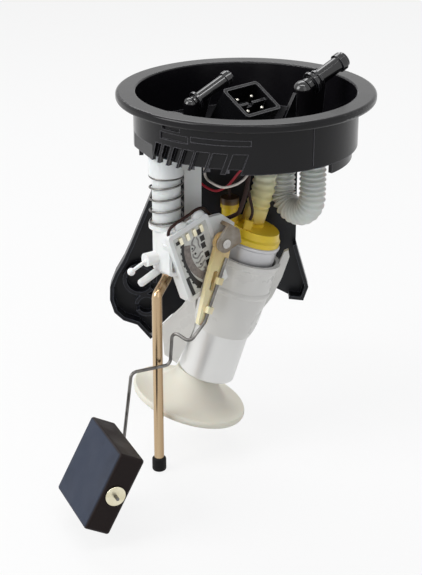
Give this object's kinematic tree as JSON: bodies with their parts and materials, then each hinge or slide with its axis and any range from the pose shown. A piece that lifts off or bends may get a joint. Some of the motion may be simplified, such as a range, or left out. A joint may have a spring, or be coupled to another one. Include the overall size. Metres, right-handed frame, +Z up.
{
  "type": "fuel pump module",
  "caption": "In-tank fuel pump module: round flange with fuel nipples and plug socket, tilted pump in a cup with strainer, and a sprung sender with float arm.",
  "frame": {"origin": "centre of the rim's underside, the face that rests on the tank neck", "axes": "+Z up out of the tank, -Y towards the viewer of the picture, +X to its right"},
  "size_m": [0.1826, 0.206, 0.2431],
  "materials": {
    "flange_black": "moulded black acetal, satin",
    "pin_nickel": "nickel plated pins",
    "bracket_black": "moulded black plastic",
    "screw_steel": "zinc plated screws",
    "white_acetal": "moulded white acetal",
    "cup_white": "moulded white plastic, satin",
    "damper_rubber": "soft black rubber",
    "can_steel": "plated drawn steel",
    "cap_yellow": "yellow moulded plastic",
    "inner_plastic": "dark filled plastic",
    "magnet_ferrite": "sintered ferrite",
    "brush_carbon": "pressed carbon",
    "bush_bronze": "sintered bronze",
    "commutator_copper": "turned copper",
    "motor_steel": "laminated and ground steel",
    "valve_brass": "turned brass",
    "spring_steel": "drawn spring wire",
    "strainer_cream": "fine woven mesh",
    "hose_clear": "translucent corrugated plastic",
    "plug_black": "black insulator",
    "lead_brown": "insulated lead",
    "lead_red": "insulated lead",
    "board_ceramic": "pale ceramic board",
    "track_carbon": "printed resistor ink",
    "terminal_brass": "pressed brass",
    "pivot_grey": "pale translucent plastic",
    "pivot_steel": "turned steel",
    "rod_brass": "drawn bronze coloured tube",
    "tip_rubber": "moulded rubber",
    "lever_cream": "cream moulded plastic",
    "wire_steel": "drawn steel wire",
    "float_black": "closed cell nitrile foam",
    "nut_zinc": "pressed zinc plated steel"
  },
  "bodies": {
    "flange": {"flange": "flange_black", "socket_shell": "flange_black", "connector_pins": "pin_nickel", "supply_elbow": "flange_black", "return_elbow": "flange_black", "guide_cap": "white_acetal", "rear_bracket": "bracket_black", "bracket_screws": "screw_steel", "pump_cup": "cup_white", "pump_damper": "damper_rubber", "pump_can": "can_steel", "pump_outlet_cap": "cap_yellow", "pump_inlet_cover": "inner_plastic", "pump_cover": "inner_plastic", "motor_magnets": "magnet_ferrite", "brushes": "brush_carbon", "upper_bush": "bush_bronze", "lower_bush": "bush_bronze", "valve_ring": "valve_brass", "strainer": "strainer_cream", "outlet_hose": "hose_clear", "return_hose": "hose_clear", "pump_plugs": "plug_black", "pump_leads": "lead_brown", "sender_spring": "spring_steel", "sender_leads": "lead_red", "valve_spring": "spring_steel"},
    "rotor": {"motor_shaft": "motor_steel", "commutator": "commutator_copper", "armature_core": "motor_steel", "impeller": "inner_plastic"},
    "valve": {"outlet_valve": "valve_brass"},
    "sender": {"sender_housing": "white_acetal", "resistor_board": "board_ceramic", "resistor_track": "track_carbon", "sender_terminals": "terminal_brass", "pivot_bracket": "pivot_grey", "pivot_pin": "pivot_steel", "foot_rod": "rod_brass", "foot_tip": "tip_rubber"},
    "float_arm": {"wiper_lever": "lever_cream", "wiper_contacts": "terminal_brass", "float_wire": "wire_steel", "float_nut": "nut_zinc"},
    "float": {"float": "float_black"}
  },
  "joints": [
    {"name": "sender_slide", "type": "slide", "parent": "flange", "child": "sender", "axis": [0, 0, 1], "range_m": [0, 0.015], "stiffness_N_per_m": 250, "springref_m": -0.02, "deforming": ["sender_spring", "sender_leads"]},
    {"name": "float_arm_swing", "type": "hinge", "parent": "sender", "child": "float_arm", "pos_m": [-0.01384, -0.02888, -0.078], "axis": [-0.5878, 0.809, 0], "range_deg": [0, 70]},
    {"name": "float_swivel", "type": "hinge", "parent": "float_arm", "child": "float", "pos_m": [-0.08232, -0.10186, -0.19], "axis": [0.3907, -0.9205, 0], "continuous": true},
    {"name": "pump_rotor_spin", "type": "hinge", "parent": "flange", "child": "rotor", "pos_m": [-0.00877, 0, -0.12742], "axis": [0.2924, 0, 0.9563], "continuous": true},
    {"name": "outlet_valve_lift", "type": "slide", "parent": "flange", "child": "valve", "axis": [0.2924, 0, 0.9563], "range_m": [0, 0.0015], "stiffness_N_per_m": 400, "springref_m": -0.001, "deforming": ["valve_spring"]}
  ]
}
